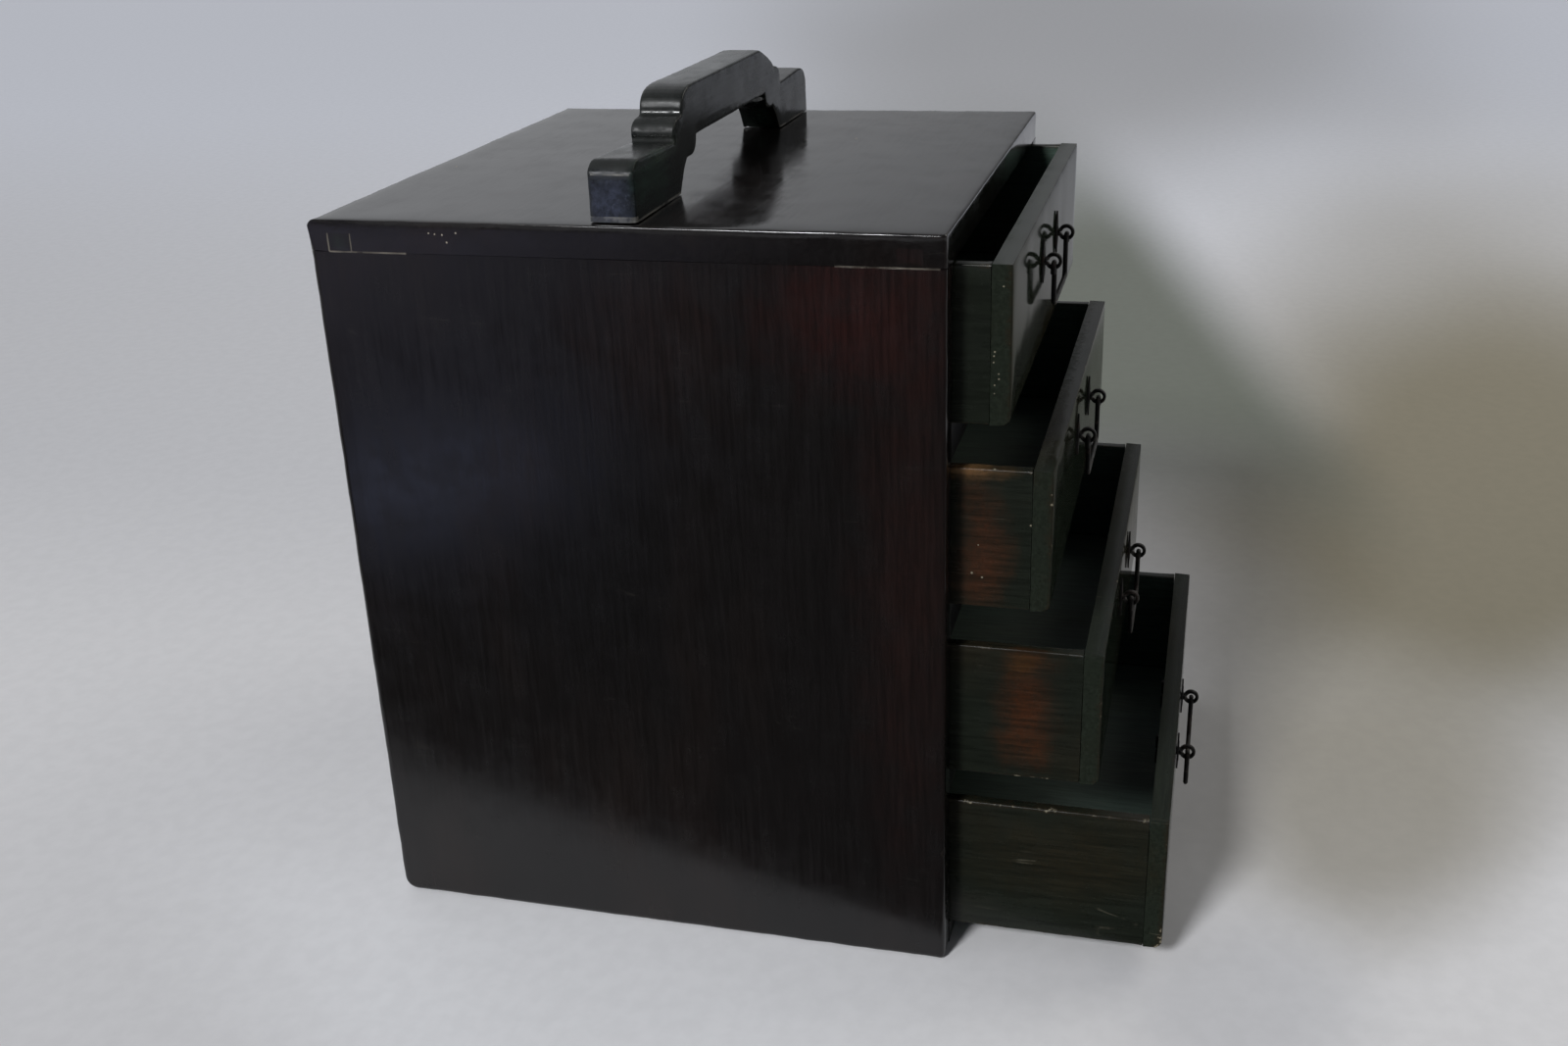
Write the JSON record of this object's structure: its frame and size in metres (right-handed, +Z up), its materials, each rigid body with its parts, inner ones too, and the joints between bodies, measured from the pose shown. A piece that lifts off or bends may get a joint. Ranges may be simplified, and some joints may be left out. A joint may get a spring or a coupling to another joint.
{
  "type": "portable drawer box",
  "caption": "Portable lacquered wooden box with stacked inset drawers that pull out at the front, iron bail pulls and a carved carry handle across the top.",
  "frame": {"origin": "middle of the underside of the case, on the surface it stands on", "axes": "+X across the width, to the right as seen from the drawers; -Y the way the drawers open; +Z up"},
  "size_m": [0.336, 0.4364, 0.4403],
  "materials": {
    "case_lacquer": "dark brown-black lacquer over wood, glossy, worn at the edges",
    "handle_lacquer": "black lacquer over carved wood, glossy on top",
    "drawer_front_lacquer": "dark brown lacquer over wood, glossy",
    "drawer_wood": "thin worn stain over wood, satin, rubbed and scratched",
    "dowel_wood": "bare wood",
    "iron": "dark wrought iron, dull"
  },
  "bodies": {
    "case": {"left_side_panel": "case_lacquer", "right_side_panel": "case_lacquer", "top_panel": "case_lacquer", "bottom_panel": "case_lacquer", "back_panel": "case_lacquer", "shelf_under_drawer_1": "case_lacquer", "shelf_under_drawer_2": "case_lacquer", "shelf_under_drawer_3": "case_lacquer", "carry_handle": "handle_lacquer", "handle_dowel_left_outer": "dowel_wood", "handle_dowel_left_inner": "dowel_wood", "handle_dowel_right_outer": "dowel_wood", "handle_dowel_right_inner": "dowel_wood"},
    "drawer_1": {"drawer_1_front": "drawer_front_lacquer", "drawer_1_left_side": "drawer_wood", "drawer_1_right_side": "drawer_wood", "drawer_1_back": "drawer_wood", "drawer_1_bottom": "drawer_wood", "drawer_1_left_plate": "iron", "drawer_1_right_plate": "iron", "drawer_1_left_eye": "iron", "drawer_1_right_eye": "iron"},
    "drawer_1_pull": {"drawer_1_bail": "iron"},
    "drawer_2": {"drawer_2_front": "drawer_front_lacquer", "drawer_2_left_side": "drawer_wood", "drawer_2_right_side": "drawer_wood", "drawer_2_back": "drawer_wood", "drawer_2_bottom": "drawer_wood", "drawer_2_left_plate": "iron", "drawer_2_right_plate": "iron", "drawer_2_left_eye": "iron", "drawer_2_right_eye": "iron"},
    "drawer_2_pull": {"drawer_2_bail": "iron"},
    "drawer_3": {"drawer_3_front": "drawer_front_lacquer", "drawer_3_left_side": "drawer_wood", "drawer_3_right_side": "drawer_wood", "drawer_3_back": "drawer_wood", "drawer_3_bottom": "drawer_wood", "drawer_3_left_plate": "iron", "drawer_3_right_plate": "iron", "drawer_3_left_eye": "iron", "drawer_3_right_eye": "iron"},
    "drawer_3_pull": {"drawer_3_bail": "iron"},
    "drawer_4": {"drawer_4_front": "drawer_front_lacquer", "drawer_4_left_side": "drawer_wood", "drawer_4_right_side": "drawer_wood", "drawer_4_back": "drawer_wood", "drawer_4_bottom": "drawer_wood", "drawer_4_left_plate": "iron", "drawer_4_right_plate": "iron", "drawer_4_left_eye": "iron", "drawer_4_right_eye": "iron"},
    "drawer_4_pull": {"drawer_4_bail": "iron"}
  },
  "joints": [
    {"name": "drawer_1_slide", "type": "slide", "parent": "case", "child": "drawer_1", "axis": [0, -1, 0], "range_m": [-0.027, 0.213]},
    {"name": "drawer_1_pull_swing", "type": "hinge", "parent": "drawer_1", "child": "drawer_1_pull", "pos_m": [0, -0.1905, 0.34444], "axis": [-1, 0, 0], "range_deg": [-10, 190]},
    {"name": "drawer_2_slide", "type": "slide", "parent": "case", "child": "drawer_2", "axis": [0, -1, 0], "range_m": [-0.048, 0.192]},
    {"name": "drawer_2_pull_swing", "type": "hinge", "parent": "drawer_2", "child": "drawer_2_pull", "pos_m": [0, -0.2115, 0.2502], "axis": [-1, 0, 0], "range_deg": [-10, 190]},
    {"name": "drawer_3_slide", "type": "slide", "parent": "case", "child": "drawer_3", "axis": [0, -1, 0], "range_m": [-0.075, 0.165]},
    {"name": "drawer_3_pull_swing", "type": "hinge", "parent": "drawer_3", "child": "drawer_3_pull", "pos_m": [0, -0.2385, 0.15596], "axis": [-1, 0, 0], "range_deg": [-10, 190]},
    {"name": "drawer_4_slide", "type": "slide", "parent": "case", "child": "drawer_4", "axis": [0, -1, 0], "range_m": [-0.111, 0.129]},
    {"name": "drawer_4_pull_swing", "type": "hinge", "parent": "drawer_4", "child": "drawer_4_pull", "pos_m": [0, -0.2745, 0.0617], "axis": [-1, 0, 0], "range_deg": [-10, 190]}
  ]
}
